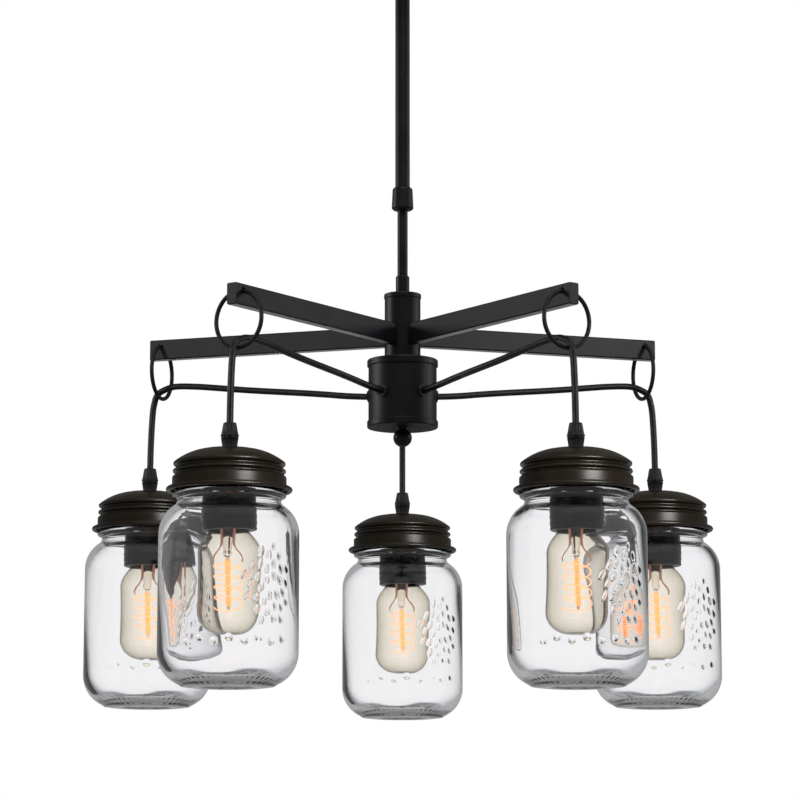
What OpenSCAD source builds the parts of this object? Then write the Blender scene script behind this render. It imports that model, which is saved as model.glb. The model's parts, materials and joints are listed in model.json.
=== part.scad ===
// Ceiling chandelier with five bare spoke arms round a hub, in place of a full wagon wheel.
// Five cords leave a drum under the hub, pass over a ring at each arm's tip and carry
// a glass jar with a tubular lamp.  Millimetres, +Z up, origin on the ceiling at the stem's axis.

/* [Frame] */
// Height of the ceiling above the middle of the arms
drop = 330; // [280:5:420]
// Reach of the arms from the stem's axis to their tips
arm_reach = 210; // [190:1:260]
// Height of an arm's rectangular tube
arm_h = 16; // [14:0.5:22]
// Width of an arm's rectangular tube
arm_w = 8.5; // [7.5:0.5:12]
// Wall of an arm's tube
arm_wall = 1.2; // [1:0.1:2]
// Where an arm's inner end lies, inside the hub
arm_inner = 9; // [8.5:0.25:10]
// Length of the plug pushed into an arm's tip
plug_len = 4; // [3:0.5:5]
// Thickness of the plug's face that caps the tube
plug_face = 1.2; // [0.8:0.1:2]

/* [Stem] */
// Diameter of the fixed upper stem tube
stem_d = 11.4; // [11:0.1:14]
// Wall of the upper stem tube
stem_wall = 1.2; // [1:0.1:1.3]
// Height of the upper tube's lower end above the middle of the arms
stem_end = 107; // [100:1:120]
// Wall of the sliding lower stem tube
slider_wall = 1; // [0.8:0.1:1.5]
// Running gap between the two stem tubes, all round
slide_gap = 0.5; // [0.35:0.05:0.7]
// How far the lower tube can be drawn out from where it is drawn
stem_out = 80; // [40:5:100]
// Length of lower tube that stays inside the upper tube when it is drawn out
stem_hold = 25; // [20:1:40]
// Height of the clamping collar
collar_h = 18; // [14:1:24]
// Diameter of the collar at its upper end
collar_top_d = 15.6; // [15:0.2:18]
// Diameter of the collar at its lower end
collar_low_d = 17; // [16:0.2:20]

/* [Hub] */
// Outer diameter of the hub tube
hub_d = 27.8; // [26:0.2:34]
// Wall of the hub tube
hub_wall = 1.6; // [1.2:0.1:2.4]
// Height of the hub tube's top above the middle of the arms
hub_top = 29; // [25:1:40]
// Depth of the hub tube's foot below the middle of the arms
hub_foot = 19; // [15:1:25]
// Diameter of the cap on the hub
cap_d = 28.8; // [28:0.2:36]
// Height of the cap's lip
cap_h = 4; // [3:0.5:6]
// Diameter of the ferrule that holds the lower stem tube on the cap
ferrule_d = 10.6; // [10:0.2:13]
// Height of the ferrule
ferrule_h = 14.5; // [12:0.5:18]
// Diameter of the threaded rod that clamps hub, drum and finial together
rod_d = 9; // [6:0.5:9.5]
// Bore of that rod, for the wires
rod_bore = 6; // [4:0.5:6.5]
// Diameter of the rod's end that screws into the finial ball
rod_tip_d = 6; // [5:0.5:7]

/* [Drum] */
// Diameter of the drum's wall
drum_d = 52.8; // [48:0.2:64]
// Thickness of the drum's wall
drum_wall = 1.2; // [0.8:0.1:2]
// Diameter of the two lipped covers
cover_d = 54.8; // [50:0.2:68]
// Height of the upper cover's lip
cover_h = 5.2; // [4:0.2:8]
// Height of the whole drum with its covers
drum_h = 53; // [46:1:70]
// Depth of the cord holes below the middle of the arms
cord_hole_depth = 46; // [40:1:55]
// Diameter of the finial ball
ball_d = 14.4; // [12:0.2:20]

/* [Rings] */
// Outer diameter of a hanging ring
ring_d = 45; // [40:0.5:54]
// Diameter of the ring's wire
ring_wire = 3.2; // [2.5:0.1:4]
// Distance of the ring's hole from the arm's tip
ring_inset = 9; // [8:0.5:11]
// Height of the ring's hole above the middle of the arm
ring_hole_z = 3; // [0:0.5:3]
// Clearance all round the wire in the arm's hole
ring_gap = 0.8; // [0.7:0.05:1]

/* [Cords] */
// Diameter of a lamp cord
cord_d = 5; // [4.5:0.1:5.5]
// Depth of the cord grips' upper ends below the middle of the arms
grip_depth = 94.5; // [90:0.5:110]
// Height of a cord grip
grip_h = 19; // [16:0.5:24]
// Greatest diameter of a cord grip
grip_d = 13.2; // [12:0.2:16]

/* [Lids] */
// Height of a lid
lid_h = 31; // [28:0.5:38]
// Diameter of the lid's rolled rim
lid_rim_d = 90; // [88:0.5:100]
// Diameter of the lid's skirt
lid_skirt_d = 81.4; // [81:0.2:84]
// Thickness of the lid's sheet
lid_wall = 0.8; // [0.6:0.1:1.2]
// Diameter of a vent hole in the lid
vent_d = 9; // [6:0.5:11]
// Distance of the vent holes from the lid's middle
vent_r = 18; // [15:0.5:21]

/* [Jars] */
// Diameter of a jar's body
jar_d = 100; // [94:1:112]
// Height of a jar below the lid's rim
jar_h = 138.5; // [125:0.5:160]
// Height of the jar's mouth inside the lid
finish_h = 14; // [11:0.5:16]
// Thickness of the jar's side
jar_wall = 3; // [2.5:0.1:4]
// Thickness of the jar's floor
jar_floor = 5; // [4:0.5:7]
// Diameter of the jar's neck under the bead
neck_d = 74; // [72:0.5:77]
// Gap all round between the jar's mouth and the lid's inner groove
lid_fit = 0.3; // [0.3:0.05:0.8]
// Radius of the curve from the jar's side to its base
heel_r = 25; // [22:1:28]
// Radius of the jar's shoulder
shoulder_r = 24; // [20:0.5:28]

/* [Lamps] */
// Diameter of the lamp holder
socket_d = 38.2; // [36:0.2:44]
// How far the lamp holder reaches below the lid's rim
socket_drop = 27.5; // [22:0.5:34]
// Diameter of the lamp's screw base
base_d = 26.4; // [26:0.1:27]
// Diameter of the tubular lamp's glass
bulb_d = 45; // [40:0.5:50]
// Length of the lamp's glass below the holder
bulb_len = 74; // [66:0.5:80]
// Thickness of the lamp's glass
bulb_wall = 0.8; // [0.6:0.1:1.2]

/* [Ceiling] */
// Diameter of the ceiling canopy
canopy_d = 130; // [124:1:150]
// Height of the ceiling canopy
canopy_h = 26; // [22:1:34]
// Thickness of the canopy's sheet
canopy_wall = 1; // [0.8:0.1:1.6]
// Spacing of the ceiling box's screws
box_pitch = 88.9; // [85:0.1:92]
// Length of each slot in the strap
slot_len = 12; // [8:1:14]
// Width of each slot in the strap
slot_w = 4.6; // [4.2:0.1:5.5]
// Distance of each canopy stud from the stem's axis
stud_r = 44; // [40:0.5:46]
// Diameter of the canopy studs
stud_d = 4; // [3:0.5:5]

/* [Hidden] */
$fn = 64;
PENDANTS = [1, 2, 3, 4, 5];

SATIN_BLACK = "#1b1b1d";
BRONZE = "#2e2a24";
GLASS = [0.85, 0.89, 0.92, 0.35];
LAMP_GLASS = [0.95, 0.88, 0.74, 0.5];
BRASS = "#b08a4a";
STEEL = "#9a9c9e";

eps = 0.01;                      // how far a cut reaches past a face
arm_z = -drop;                   // height of the middle of the arms
arm_count = 5;
first_arm = 234;                 // direction of arm 1, front left
function arm_angle(k) = first_arm - 360 / arm_count * (k - 1);

stem_bore = stem_d - 2 * stem_wall;
slider_d = stem_bore - 2 * slide_gap;
ring_r = arm_reach - ring_inset;         // where a ring hangs along its arm
ring_mean = (ring_d - ring_wire) / 2;    // radius of the ring's wire
pendant_r = arm_reach;                   // the jars hang under the arms' tips
hub_cap_z = arm_z + hub_top;
drum_top_z = arm_z - hub_foot;
drum_foot_z = drum_top_z - drum_h;
grip_z = arm_z - grip_depth;
lid_top_z = grip_z - grip_h;
lid_z = lid_top_z - lid_h;               // underside of the lid's rim
jar_z = lid_z - jar_h;                   // underside of the jar
socket_z = lid_z - socket_drop;          // lower end of the lamp holder

// Places a child at pendant k, unturned
module at_pendant(k) {
    translate([pendant_r * cos(arm_angle(k)), pendant_r * sin(arm_angle(k)), 0]) children();
}

// Points of an arc, from angle a0 to a1
function arc(cx, cy, r, a0, a1, n = 5) =
    [for (i = [0:n]) let (a = a0 + (a1 - a0) * i / n) [cx + r * cos(a), cy + r * sin(a)]];

// ---------------------------------------------------------------- ceiling

strap_t = 2;
strap_len = 112;
strap_w = 20;
nipple_d = 10;
rim_w = 3;

module mounting_strap() {
    color(STEEL)
    translate([0, 0, -strap_t])
    difference() {
        union() {
            translate([-strap_len / 2, -strap_w / 2, 0]) cube([strap_len, strap_w, strap_t]);
            translate([-strap_w / 2, -strap_len / 2, 0]) cube([strap_w, strap_len, strap_t]);
        }
        for (s = [-1, 1]) {
            translate([s * box_pitch / 2, 0, -eps]) slot_cut();
            translate([0, s * stud_r, -eps]) cylinder(d = stud_d, h = strap_t + 2 * eps);
        }
        translate([0, 0, -eps]) cylinder(d = nipple_d, h = strap_t + 2 * eps);
    }
}

module slot_cut() {
    run = slot_len - slot_w;
    translate([-run / 2, -slot_w / 2, 0]) cube([run, slot_w, strap_t + 2 * eps]);
    for (s = [-1, 1]) translate([s * run / 2, 0, 0]) cylinder(d = slot_w, h = strap_t + 2 * eps);
}

// Depth of the canopy's sheet under the ceiling at the studs' distance
dome_r = (pow(canopy_d / 2 - rim_w, 2) + pow(canopy_h, 2)) / (2 * canopy_h);
function canopy_depth(r) = canopy_h - dome_r + sqrt(dome_r * dome_r - r * r);

stud_end = 5;                    // stud below the canopy's sheet
stud_len = canopy_depth(stud_r) + stud_end;

module canopy_screws() {
    color(STEEL)
    for (s = [-1, 1]) translate([0, s * stud_r, -stud_len]) cylinder(d = stud_d, h = stud_len);
}

module canopy() {
    inner_r = dome_r - canopy_wall;
    color(SATIN_BLACK)
    difference() {
        union() {
            intersection() {
                translate([0, 0, dome_r - canopy_h]) sphere(r = dome_r, $fn = 96);
                translate([0, 0, -canopy_h]) cylinder(d = canopy_d, h = canopy_h);
            }
            translate([0, 0, -rim_w / 2]) cylinder(d = canopy_d, h = rim_w / 2);
        }
        intersection() {
            translate([0, 0, dome_r - canopy_h]) sphere(r = inner_r, $fn = 96);
            translate([0, 0, -canopy_h]) cylinder(d = canopy_d - 2 * rim_w, h = canopy_h + eps);
        }
        translate([0, 0, -canopy_h - eps]) cylinder(d = stem_d, h = canopy_h);
        for (s = [-1, 1])
            translate([0, s * stud_r, -canopy_h]) cylinder(d = stud_d, h = canopy_h + eps);
    }
}

nut_d = 9;
nut_bite = 1;                    // stud inside the nut, past its middle

module canopy_nuts() {
    top = nut_d / 4 + 0.6;
    color(SATIN_BLACK)
    for (s = [-1, 1])
        translate([0, s * stud_r, -stud_len - nut_d / 4])
        difference() {
            sphere(d = nut_d);
            translate([0, 0, -nut_bite]) cylinder(d = stud_d, h = nut_d);
            translate([-nut_d, -nut_d, top]) cube([2 * nut_d, 2 * nut_d, nut_d]);
        }
}

// ---------------------------------------------------------------- stem

stem_foot_z = arm_z + stem_end;
collar_lap = 11;                 // length of upper tube inside the collar
collar_edge = 1.4;               // chamfer on the collar's ends

stem_bore_top_z = -8;            // solid shoulder under the threaded end
nipple_wall = 1.5;

module stem_upper() {
    color(SATIN_BLACK)
    difference() {
        union() {
            translate([0, 0, stem_foot_z]) cylinder(d = stem_d, h = -strap_t - stem_foot_z);
            translate([0, 0, -strap_t - eps]) cylinder(d = nipple_d, h = strap_t + eps);
        }
        translate([0, 0, stem_foot_z - eps])
            cylinder(d = stem_bore, h = stem_bore_top_z - stem_foot_z);
        translate([0, 0, 2 * stem_bore_top_z])
            cylinder(d = nipple_d - 2 * nipple_wall, h = 1 - 2 * stem_bore_top_z);
    }
}

module stem_collar() {
    foot = stem_foot_z + collar_lap - collar_h;
    top = stem_foot_z + collar_lap;
    color(SATIN_BLACK)
    difference() {
        rotate_extrude()
        polygon([
            [0, foot], [collar_low_d / 2 - collar_edge, foot],
            [collar_low_d / 2, foot + collar_edge], [collar_top_d / 2, top - collar_edge],
            [collar_top_d / 2 - collar_edge, top], [0, top],
        ]);
        translate([0, 0, stem_foot_z]) cylinder(d = stem_d, h = collar_h);
        translate([0, 0, foot - eps]) cylinder(d = stem_bore, h = collar_h);
    }
}

slider_foot_z = hub_cap_z + cap_h;
slider_top_z = stem_foot_z + stem_out + stem_hold;

module stem_lower() {
    color(SATIN_BLACK)
    translate([0, 0, slider_foot_z])
    difference() {
        cylinder(d = slider_d, h = slider_top_z - slider_foot_z);
        translate([0, 0, -eps])
            cylinder(d = slider_d - 2 * slider_wall, h = slider_top_z - slider_foot_z + 2 * eps);
    }
}

// ---------------------------------------------------------------- hub and arms

module hub_ferrule() {
    edge = 0.8;
    color(SATIN_BLACK)
    translate([0, 0, slider_foot_z])
    rotate_extrude()
    polygon([
        [slider_d / 2, 0], [ferrule_d / 2, 0], [ferrule_d / 2, ferrule_h - edge],
        [ferrule_d / 2 - edge, ferrule_h], [slider_d / 2, ferrule_h],
    ]);
}

module hub_cap() {
    edge = 1;
    step = 1;
    color(SATIN_BLACK)
    translate([0, 0, hub_cap_z])
    rotate_extrude()
    difference() {
        union() {
            square([cap_d / 2 - edge, cap_h]);
            square([cap_d / 2, cap_h - edge]);
            translate([cap_d / 2 - edge, cap_h - edge]) circle(r = edge);
            translate([0, -step]) square([hub_d / 2 - hub_wall, step + eps]);
        }
        translate([0, -step - eps]) square([rod_d / 2, cap_h + step - 1]);
        square([rod_bore / 2, 2 * cap_h]);
        translate([-cap_d, -cap_h]) square([cap_d, 3 * cap_h]);
    }
}

module hub_tube() {
    h = hub_top + hub_foot;
    color(SATIN_BLACK)
    difference() {
        translate([0, 0, arm_z - hub_foot]) cylinder(d = hub_d, h = h);
        translate([0, 0, arm_z - hub_foot - eps])
            cylinder(d = hub_d - 2 * hub_wall, h = h + 2 * eps);
        for (k = PENDANTS)
            rotate([0, 0, arm_angle(k)])
            translate([hub_d / 4, -arm_w / 2, arm_z - arm_h / 2]) cube([hub_d, arm_w, arm_h]);
    }
}

module arms() {
    color(SATIN_BLACK)
    for (k = PENDANTS) rotate([0, 0, arm_angle(k)]) arm_tube();
}

// One arm along +X: a rectangular tube with the ring's hole through its sides
module arm_tube() {
    bar = arm_reach - plug_face - arm_inner;
    difference() {
        translate([arm_inner, -arm_w / 2, arm_z - arm_h / 2]) cube([bar, arm_w, arm_h]);
        translate([arm_inner - eps, -arm_w / 2 + arm_wall, arm_z - arm_h / 2 + arm_wall])
            cube([bar + 2 * eps, arm_w - 2 * arm_wall, arm_h - 2 * arm_wall]);
        translate([ring_r, 0, arm_z + ring_hole_z])
        rotate([90, 0, 0])
            cylinder(d = ring_wire + 2 * ring_gap, h = arm_w + 2, center = true);
    }
}

module arm_end_plugs() {
    in_w = arm_w - 2 * arm_wall;
    in_h = arm_h - 2 * arm_wall;
    color(SATIN_BLACK)
    for (k = PENDANTS)
        rotate([0, 0, arm_angle(k)])
        union() {
            translate([arm_reach - plug_face, -arm_w / 2, arm_z - arm_h / 2])
                cube([plug_face, arm_w, arm_h]);
            translate([arm_reach - plug_len, -in_w / 2, arm_z - in_h / 2])
                cube([plug_len - plug_face + eps, in_w, in_h]);
        }
}

// The threaded rod from the cap down through hub and drum into the ball
rod_in_ball = 5;

module centre_rod() {
    low = drum_foot_z - rod_in_ball;
    top = hub_cap_z + cap_h - 1;
    color(STEEL)
    translate([0, 0, low])
    difference() {
        union() {
            cylinder(d = rod_tip_d, h = top - low);
            translate([0, 0, drum_foot_z - low]) cylinder(d = rod_d, h = top - drum_foot_z);
        }
        translate([0, 0, drum_foot_z - low + 4]) cylinder(d = rod_bore, h = top - low);
    }
}

// ---------------------------------------------------------------- drum

module drum_cover() {
    edge = 1.2;
    rotate_extrude()
    difference() {
        union() {
            square([cover_d / 2 - edge, cover_h]);
            translate([0, edge]) square([cover_d / 2, cover_h - edge]);
            translate([cover_d / 2 - edge, edge]) circle(r = edge);
        }
        translate([0, drum_wall]) square([drum_d / 2, cover_h]);
        translate([-cover_d, 0]) square([cover_d, 2 * cover_h]);
        square([rod_d / 2, 3 * drum_wall]);
    }
}

module drum_top() {
    color(SATIN_BLACK) translate([0, 0, drum_top_z]) mirror([0, 0, 1]) drum_cover();
}

module drum_bottom() {
    color(SATIN_BLACK) translate([0, 0, drum_foot_z]) drum_cover();
}

bushing_d = cord_d + 3;

module drum_body() {
    h = drum_h - 2 * drum_wall;
    color(SATIN_BLACK)
    difference() {
        translate([0, 0, drum_foot_z + drum_wall]) cylinder(d = drum_d, h = h);
        translate([0, 0, drum_foot_z + drum_wall - eps])
            cylinder(d = drum_d - 2 * drum_wall, h = h + 2 * eps);
        for (k = PENDANTS)
            rotate([0, 0, arm_angle(k)])
            translate([0, 0, arm_z - cord_hole_depth]) rotate([0, 90, 0])
                cylinder(d = bushing_d, h = drum_d);
    }
}

bushing_lip = 1.4;               // thickness of a bushing's flange
bushing_tail = 3;                // bushing inside the drum's wall
bushing_out = drum_d / 2 + bushing_lip;
bushing_in = drum_d / 2 - drum_wall - bushing_tail;

module cord_bushings() {
    color(SATIN_BLACK)
    for (k = PENDANTS)
        rotate([0, 0, arm_angle(k)])
        translate([0, 0, arm_z - cord_hole_depth])
        rotate([0, 90, 0])
        difference() {
            union() {
                translate([0, 0, bushing_in]) cylinder(d = bushing_d, h = bushing_out - bushing_in);
                translate([0, 0, drum_d / 2]) cylinder(d = bushing_d + 1.6, h = bushing_lip);
            }
            translate([0, 0, bushing_in - 1]) cylinder(d = cord_d, h = drum_d);
        }
}

module finial_ball() {
    collar_d = 8;
    gap = 0.4;                   // of the ball below the drum, bridged by its collar
    ball_z = drum_foot_z - gap - ball_d / 2;
    collar_z = ball_z + ball_d / 4;
    color(SATIN_BLACK)
    difference() {
        union() {
            translate([0, 0, ball_z]) sphere(d = ball_d);
            translate([0, 0, collar_z]) cylinder(d = collar_d, h = drum_foot_z - collar_z);
        }
        translate([0, 0, drum_foot_z - rod_in_ball])
            cylinder(d = rod_tip_d, h = rod_in_ball + eps);
    }
}

// ---------------------------------------------------------------- rings

module ring(k) {
    color(SATIN_BLACK)
    rotate([0, 0, arm_angle(k)])
    translate([ring_r, 0, arm_z + ring_hole_z - ring_mean])
    rotate([0, 90, 0])
    rotate_extrude() translate([ring_mean, 0]) circle(d = ring_wire);
}

// ---------------------------------------------------------------- cords

cord_lift = 1.7;                 // of the cord's underside over the ring's wire, at its foot
rest_z = ring_hole_z - 2 * ring_mean + (ring_wire + cord_d) / 2 + cord_lift;
bend = (ring_wire + cord_d) / 8.2;       // size of the bend over the ring, against that drawn
run_from = [bushing_out + 18.2, -cord_hole_depth + 1.4];     // where the run comes up straight
run_to = [ring_r - 29, rest_z + 2.4];

// A cord's route: [distance from the stem's axis, height from the middle of the arms]
RUN = concat(
    [[bushing_in + 2, -cord_hole_depth], [bushing_out + 1.2, -cord_hole_depth]],
    [for (i = [0:7]) run_from + (run_to - run_from) * i / 7
        - [0, 0.5 * sin(180 * i / 7)]],
    [[ring_r - 11, rest_z + 3.2], [ring_r, rest_z]]
);
DROP = [
    [ring_r, rest_z], [ring_r + 0.47 * ring_inset, rest_z - 3.7 * bend],
    [ring_r + 0.68 * ring_inset, rest_z - 9.5 * bend],
    [ring_r + 0.82 * ring_inset, rest_z - 18 * bend], [pendant_r, -grip_depth],
];
RUN_TO = [10, -6.6];             // direction of the cord where its run meets its drop
cord_sides = 10;

// Direction of the route at point i
function heading(pts, i, first, last) =
    let (d = i == 0 ? first : i == len(pts) - 1 ? last : pts[i + 1] - pts[i - 1]) d / norm(d);

// One ring of points round the route, square to its heading
function collar_points(p, d) =
    [for (j = [0:cord_sides - 1])
        let (a = 360 * j / cord_sides, u = cord_d / 2 * cos(a), v = cord_d / 2 * sin(a))
        [p[0] - d[1] * u, v, arm_z + p[1] + d[0] * u]];

module tube_along(pts, first, last) {
    n = len(pts);
    m = cord_sides;
    points = [for (i = [0:n - 1]) each collar_points(pts[i], heading(pts, i, first, last))];
    sides = [for (i = [0:n - 2], j = [0:m - 1])
        let (a = i * m + j, b = i * m + (j + 1) % m) [a, b, b + m, a + m]];
    polyhedron(points, concat(
        [[for (j = [m - 1:-1:0]) j]], sides, [[for (j = [0:m - 1]) (n - 1) * m + j]]));
}

module cord_runs() {
    color("#17150f")
    for (k = PENDANTS) rotate([0, 0, arm_angle(k)]) tube_along(RUN, [1, 0], RUN_TO);
}

module cord_drop(k) {
    color("#17150f") rotate([0, 0, arm_angle(k)]) tube_along(DROP, RUN_TO, [0, -1]);
}

// ---------------------------------------------------------------- pendants

grip_split = 10;                 // length of the grip's upper nut
grip_neck_d = 10.7;              // waist just above the grip's foot
grip_tail_r = 5;                 // the grip's end that passes through the lid
grip_tail = 2.5;
grip_mouth_r = 4.6;              // upper end, where the cord goes in

module cord_grip(k) {
    low_top = grip_h - grip_split;
    color(SATIN_BLACK)
    at_pendant(k)
    translate([0, 0, lid_top_z])
    rotate_extrude()
    polygon([
        [0, -grip_tail], [grip_tail_r, -grip_tail], [grip_tail_r, 0], [grip_d / 2, 0],
        [grip_d / 2, 1.2], [grip_neck_d / 2, 1.6], [grip_d / 2 - 0.3, low_top - 1.2],
        [grip_d / 2 - 1, low_top - 1], [grip_d / 2 - 1, low_top],
        [grip_d / 2, low_top], [grip_d / 2, low_top + 1.2],
        [grip_mouth_r, grip_h], [0, grip_h],
    ]);
}

// Outline of a lid's outside, [radius, height above the rim's underside], rim to middle
skirt_r = lid_skirt_d / 2;
rim_r = 1.7;                     // radius of the rolled rim
dome_h = 9.3;                    // height of the dome above the upper bead
dome_edge_z = lid_h - dome_h;
dome_flat = 12;
dome_run = skirt_r - 1.7 - dome_flat;
dome_arc = (pow(dome_run, 2) + pow(dome_h, 2)) / (2 * dome_h);
dome_sweep = asin(dome_run / dome_arc);

lid_groove_r = skirt_r - 2.8;    // bottom of the grooves between the lid's beads
groove_r = 1.2;
bead_low_r = 1.3;
bead_top_r = 1.5;
skirt_foot_z = 2 * rim_r;
skirt_top_z = lid_h - 20.4;
groove_low_z = lid_h - 18.7;
bead_low_z = lid_h - 16.2;
groove_top_z = lid_h - 13.6;
bead_top_z = lid_h - 10.8;

function lid_line(t) = concat(
    [[skirt_r - t, skirt_foot_z], [skirt_r - t, skirt_top_z]],
    arc(lid_groove_r - t + groove_r + 0.5, groove_low_z, groove_r, 240, 120, 3),
    arc(skirt_r - 1.7 - t, bead_low_z, bead_low_r, -50, 50, 4),
    arc(lid_groove_r - t + groove_r, groove_top_z, groove_r, 240, 120, 3),
    arc(skirt_r - 2.2 - t, bead_top_z, bead_top_r, -50, 60, 4),
    arc(dome_flat, lid_h - dome_arc, dome_arc - t, 90 - dome_sweep, 90, 6),
    [[0, lid_h - t]]
);

module lid(k) {
    web_z = skirt_foot_z - lid_wall;     // underside of the web between skirt and rim
    color(BRONZE)
    at_pendant(k)
    translate([0, 0, lid_z])
    difference() {
        rotate_extrude()
        union() {
            difference() {
                polygon(concat([[0, web_z]], [[skirt_r, web_z]], lid_line(0)));
                polygon(concat([[0, 0]], [[skirt_r - lid_wall, 0]], lid_line(lid_wall)));
            }
            translate([skirt_r - lid_wall, web_z])
                square([lid_rim_d / 2 - rim_r - skirt_r + lid_wall, lid_wall]);
            translate([lid_rim_d / 2 - rim_r, rim_r]) circle(r = rim_r);
        }
        for (a = [45:90:315])
            rotate([0, 0, a]) translate([vent_r, 0, dome_edge_z]) cylinder(d = vent_d, h = lid_h);
        translate([0, 0, lid_h - 3]) cylinder(r = grip_tail_r, h = 5);
    }
}

bulb_neck = 7;                   // length of lamp glass hidden in the holder
base_h = 24;
screw_gap = 0.5;
holder_neck_r = 6;               // the holder's top, round the grip's end
holder_neck = 2.5;

module socket(k) {
    top = lid_top_z - lid_wall - holder_neck;
    h = top - socket_z;
    bore = base_d + 2 * screw_gap;
    color("#17181a")
    at_pendant(k)
    translate([0, 0, socket_z])
    difference() {
        rotate_extrude()
        polygon([
            [0, 0], [socket_d / 2 - 1, 0], [socket_d / 2, 1], [socket_d / 2, h - 4],
            [socket_d / 2 - 4, h], [holder_neck_r, h], [holder_neck_r, h + holder_neck],
            [0, h + holder_neck],
        ]);
        translate([0, 0, -eps]) cylinder(d = bore, h = bulb_neck + base_h + 1);
        translate([0, 0, h]) cylinder(r = grip_tail_r, h = holder_neck + 0.5);
    }
}

// Outline of the lamp's glass, from its neck in the holder to its tip
bulb_waist = base_d / 2 - 0.6;   // radius at the holder's mouth
swell_len = 17;                  // depth at which the glass reaches its full width
tip_r = 17;                      // radius of the curve round the tip

function bulb_line(t) = concat(
    [[bulb_waist - t, bulb_neck], [bulb_waist - t, 0]],
    [for (i = [1:7]) let (s = i / 7)
        [bulb_waist - t + (bulb_d / 2 - bulb_waist) * sin(90 * s), -swell_len * s]],
    arc(bulb_d / 2 - tip_r, -bulb_len + tip_r, tip_r - t, 0, -80, 6),
    [[0, -bulb_len + t]]
);

module bulb_glass(k) {
    color(LAMP_GLASS)
    at_pendant(k)
    translate([0, 0, socket_z])
    rotate_extrude()
    difference() {
        polygon(concat([[0, bulb_neck]], bulb_line(0)));
        polygon(concat([[0, bulb_neck + 1], [bulb_waist - bulb_wall, bulb_neck + 1]],
            bulb_line(bulb_wall)));
    }
}

// The screw base with the glass stem that carries the filament
module bulb_mount(k) {
    stem_len = 27;
    color(BRASS)
    at_pendant(k)
    translate([0, 0, socket_z + bulb_neck])
    union() {
        difference() {
            rotate_extrude()
            polygon([
                [0, base_h], [4.8, base_h], [5.4, base_h - 1.6], [base_d / 2 - 1.4, base_h - 5],
                [base_d / 2, base_h - 7], [base_d / 2, 0], [0, 0],
            ]);
            // the base is a thin shell
            rotate_extrude()
            polygon([
                [0, base_h - 1], [3.8, base_h - 1], [4.5, base_h - 2.4],
                [base_d / 2 - 2.4, base_h - 5.8], [base_d / 2 - 1, base_h - 7.6],
                [base_d / 2 - 1, 1], [0, 1],
            ]);
        }
        translate([0, 0, -stem_len]) cylinder(r1 = 2.6, r2 = 4.5, h = stem_len + eps);
        translate([0, 0, -stem_len]) sphere(r = 3.4);
    }
}

// Outline of a jar's outside, [radius, height], from the middle of its base to its mouth
neck_r = neck_d / 2;
finish_r = lid_groove_r - lid_wall - lid_fit;    // outside of the mouth, in the lid's thread
fillet_r = 5;                    // hollow curve between shoulder and neck
bead_r = neck_r + 3.6;           // carrying bead just under the lid
foot_r = 21;                     // ring that the jar stands on
push_up = 2.2;                   // hollow under the base, in the middle
shoulder_a = acos((neck_r + fillet_r - jar_d / 2 + shoulder_r) / (shoulder_r + fillet_r));
fillet_z = jar_h - 6;
shoulder_z = fillet_z - (shoulder_r + fillet_r) * sin(shoulder_a);

// From the base's edge to the neck, drawn in by t at the side and raised by floor_h below
function jar_line(t, floor_h) = concat(
    arc(jar_d / 2 - heel_r, heel_r + floor_h - t, heel_r - t, -90, 0, 8),
    arc(jar_d / 2 - shoulder_r, shoulder_z, shoulder_r - t, 0, shoulder_a, 5),
    arc(neck_r + fillet_r, fillet_z, fillet_r + t, 180 + shoulder_a, 180, 4)
);

module jar(k) {
    top = jar_h + finish_h;
    color(GLASS)
    at_pendant(k)
    translate([0, 0, jar_z])
    rotate_extrude()
    difference() {
        polygon(concat([[0, 0]], jar_line(0, 0), [
            [neck_r, jar_h - 5.2], [bead_r - 1, jar_h - 4.6], [bead_r, jar_h - 3.4],
            [bead_r, jar_h - 1.6], [bead_r - 1, jar_h - 0.6], [finish_r, jar_h - 0.4],
            [finish_r, top - 1], [finish_r - 1, top], [0, top],
        ]));
        polygon(concat([[0, jar_floor]], jar_line(jar_wall, jar_floor), [
            [finish_r - jar_wall, jar_h - 4], [finish_r - jar_wall, top + 1], [0, top + 1],
        ]));
        // the base is pushed up in the middle
        polygon([[0, -1], [foot_r, -1], [foot_r - 3, push_up / 2 + 0.1], [0, push_up]]);
    }
}

mounting_strap();
canopy_screws();
canopy();
canopy_nuts();
stem_upper();
stem_collar();
stem_lower();
hub_ferrule();
hub_cap();
hub_tube();
arms();
arm_end_plugs();
centre_rod();
drum_top();
drum_body();
drum_bottom();
cord_bushings();
finial_ball();
cord_runs();
ring(1);  // ring_1
ring(2);  // ring_2
ring(3);  // ring_3
ring(4);  // ring_4
ring(5);  // ring_5
cord_drop(1);  // cord_drop_1
cord_drop(2);  // cord_drop_2
cord_drop(3);  // cord_drop_3
cord_drop(4);  // cord_drop_4
cord_drop(5);  // cord_drop_5
cord_grip(1);  // cord_grip_1
cord_grip(2);  // cord_grip_2
cord_grip(3);  // cord_grip_3
cord_grip(4);  // cord_grip_4
cord_grip(5);  // cord_grip_5
lid(1);  // lid_1
lid(2);  // lid_2
lid(3);  // lid_3
lid(4);  // lid_4
lid(5);  // lid_5
socket(1);  // socket_1
socket(2);  // socket_2
socket(3);  // socket_3
socket(4);  // socket_4
socket(5);  // socket_5
bulb_glass(1);  // bulb_glass_1
bulb_glass(2);  // bulb_glass_2
bulb_glass(3);  // bulb_glass_3
bulb_glass(4);  // bulb_glass_4
bulb_glass(5);  // bulb_glass_5
bulb_mount(1);  // bulb_mount_1
bulb_mount(2);  // bulb_mount_2
bulb_mount(3);  // bulb_mount_3
bulb_mount(4);  // bulb_mount_4
bulb_mount(5);  // bulb_mount_5
jar(1);  // jar_1
jar(2);  // jar_2
jar(3);  // jar_3
jar(4);  // jar_4
jar(5);  // jar_5
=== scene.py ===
"""Five-arm jar chandelier: looks, cords, studio and camera, in metres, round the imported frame."""

import json
import math

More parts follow.
